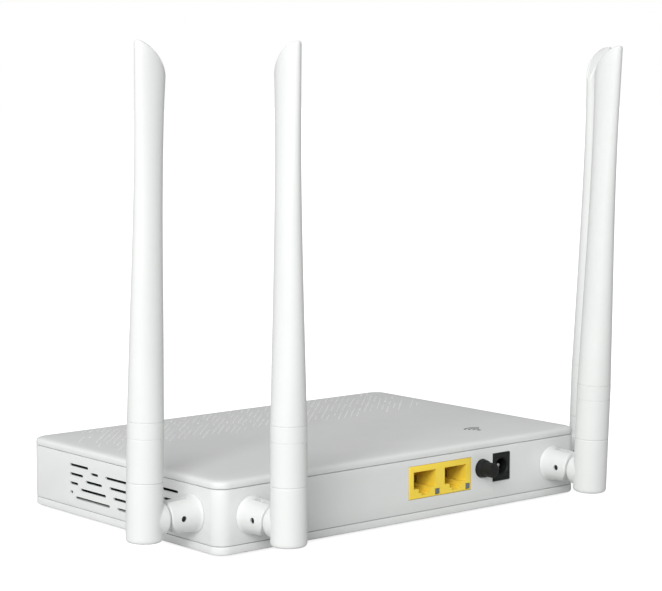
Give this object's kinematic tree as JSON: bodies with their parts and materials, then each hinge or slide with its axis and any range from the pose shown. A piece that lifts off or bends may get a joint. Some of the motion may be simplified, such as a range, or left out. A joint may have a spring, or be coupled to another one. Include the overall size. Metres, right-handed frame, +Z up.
{
  "type": "optical network terminal",
  "caption": "Low rectangular fibre network terminal with jointed blade antennas at its rear corners, LAN and power sockets on the back, vented sides and push buttons.",
  "frame": {"origin": "centre of the case in plan, on the plane its rubber feet stand on", "axes": "+Z up; +Y out of the port face at the back; +X to the right when facing the lamp side from behind it, so the case's width runs along X"},
  "size_m": [0.2495, 0.1612, 0.1869],
  "materials": {
    "case_plastic": "fine satin, cool off-white",
    "antenna_plastic": "smooth satin, white",
    "port_plastic": "semi-gloss yellow",
    "black_plastic": "semi-gloss black",
    "lamp": "smoky blue grey",
    "steel": "satin",
    "gold": "plated",
    "fibre_green": "semi-gloss green",
    "cap_green": "soft matte green",
    "board": "solder mask green",
    "chip": "moulded epoxy",
    "aluminium": "anodised",
    "clear": "frosted clear",
    "rubber": "dark grey rubber",
    "coax": "grey jacket",
    "sleeve": "printed sleeve, no text"
  },
  "bodies": {
    "case": {"lid": "case_plastic", "mid_band": "case_plastic", "base": "case_plastic", "foot_1": "rubber", "foot_2": "rubber", "foot_3": "rubber", "foot_4": "rubber", "case_screw_1": "steel", "case_screw_2": "steel", "case_screw_3": "steel", "case_screw_4": "steel", "pcb": "board", "rj45_block": "port_plastic", "rj45_lamp_1": "lamp", "rj45_lamp_2": "lamp", "dc_jack": "black_plastic", "dc_pin": "steel", "power_switch": "black_plastic", "sc_adapter": "fibre_green", "optical_module": "gold", "processor": "chip", "heatsink": "aluminium", "radio_shield": "steel", "magnetics": "chip", "capacitor_1": "sleeve", "capacitor_2": "sleeve", "light_guide": "clear", "wps_switch": "black_plastic", "reset_switch": "black_plastic", "coax_a": "coax", "coax_b": "coax", "coax_c": "coax", "coax_d": "coax"},
    "knuckle_a": {"ant_a_knuckle": "antenna_plastic", "ant_a_pin": "black_plastic"},
    "antenna_a": {"ant_a_tube": "antenna_plastic", "ant_a_radome": "antenna_plastic", "ant_a_radiator": "gold"},
    "knuckle_b": {"ant_b_knuckle": "antenna_plastic", "ant_b_pin": "black_plastic"},
    "antenna_b": {"ant_b_tube": "antenna_plastic", "ant_b_radome": "antenna_plastic", "ant_b_radiator": "gold"},
    "knuckle_c": {"ant_c_knuckle": "antenna_plastic", "ant_c_pin": "black_plastic"},
    "antenna_c": {"ant_c_tube": "antenna_plastic", "ant_c_radome": "antenna_plastic", "ant_c_radiator": "gold"},
    "knuckle_d": {"ant_d_knuckle": "antenna_plastic", "ant_d_pin": "black_plastic"},
    "antenna_d": {"ant_d_tube": "antenna_plastic", "ant_d_radome": "antenna_plastic", "ant_d_radiator": "gold"},
    "power_button": {"power_button": "black_plastic"},
    "wps_button": {"wps_button": "case_plastic"},
    "reset_button": {"reset_button": "case_plastic"},
    "dust_cap": {"sc_dust_cap": "cap_green"}
  },
  "joints": [
    {"name": "antenna_a_swivel", "type": "hinge", "parent": "case", "child": "knuckle_a", "pos_m": [0.0935, 0.047, 0.0149], "axis": [1, 0, 0], "range_deg": [-90, 90]},
    {"name": "antenna_a_tilt", "type": "hinge", "parent": "knuckle_a", "child": "antenna_a", "pos_m": [0.1018, 0.047, 0.0149], "axis": [0, 1, 0], "range_deg": [-1.5, 56.5]},
    {"name": "antenna_b_swivel", "type": "hinge", "parent": "case", "child": "knuckle_b", "pos_m": [0.0784, 0.063, 0.0149], "axis": [0, 1, 0], "range_deg": [-45, 90]},
    {"name": "antenna_b_tilt", "type": "hinge", "parent": "knuckle_b", "child": "antenna_b", "pos_m": [0.0784, 0.0713, 0.0149], "axis": [-1, 0, 0], "range_deg": [-3, 55]},
    {"name": "antenna_c_swivel", "type": "hinge", "parent": "case", "child": "knuckle_c", "pos_m": [-0.0784, 0.063, 0.0149], "axis": [0, 1, 0], "range_deg": [-90, 45]},
    {"name": "antenna_c_tilt", "type": "hinge", "parent": "knuckle_c", "child": "antenna_c", "pos_m": [-0.0784, 0.0713, 0.0149], "axis": [-1, 0, 0], "range_deg": [-5.4, 52.6]},
    {"name": "antenna_d_swivel", "type": "hinge", "parent": "case", "child": "knuckle_d", "pos_m": [-0.0935, 0.047, 0.0149], "axis": [-1, 0, 0], "range_deg": [-90, 90]},
    {"name": "antenna_d_tilt", "type": "hinge", "parent": "knuckle_d", "child": "antenna_d", "pos_m": [-0.1018, 0.047, 0.0149], "axis": [0, -1, 0], "range_deg": [-5.1, 52.9]},
    {"name": "power_button_push", "type": "slide", "parent": "case", "child": "power_button", "axis": [0, -1, 0], "range_m": [0, 0.0022], "stiffness_N_per_m": 400, "springref_m": -0.002},
    {"name": "wps_button_push", "type": "slide", "parent": "case", "child": "wps_button", "axis": [1, 0, 0], "range_m": [0, 0.0007], "stiffness_N_per_m": 400, "springref_m": -0.002},
    {"name": "reset_button_push", "type": "slide", "parent": "case", "child": "reset_button", "axis": [1, 0, 0], "range_m": [0, 0.0007], "stiffness_N_per_m": 400, "springref_m": -0.002},
    {"name": "dust_cap_pull", "type": "slide", "parent": "case", "child": "dust_cap", "axis": [0, -1, 0], "range_m": [-0.012, 0]}
  ]
}
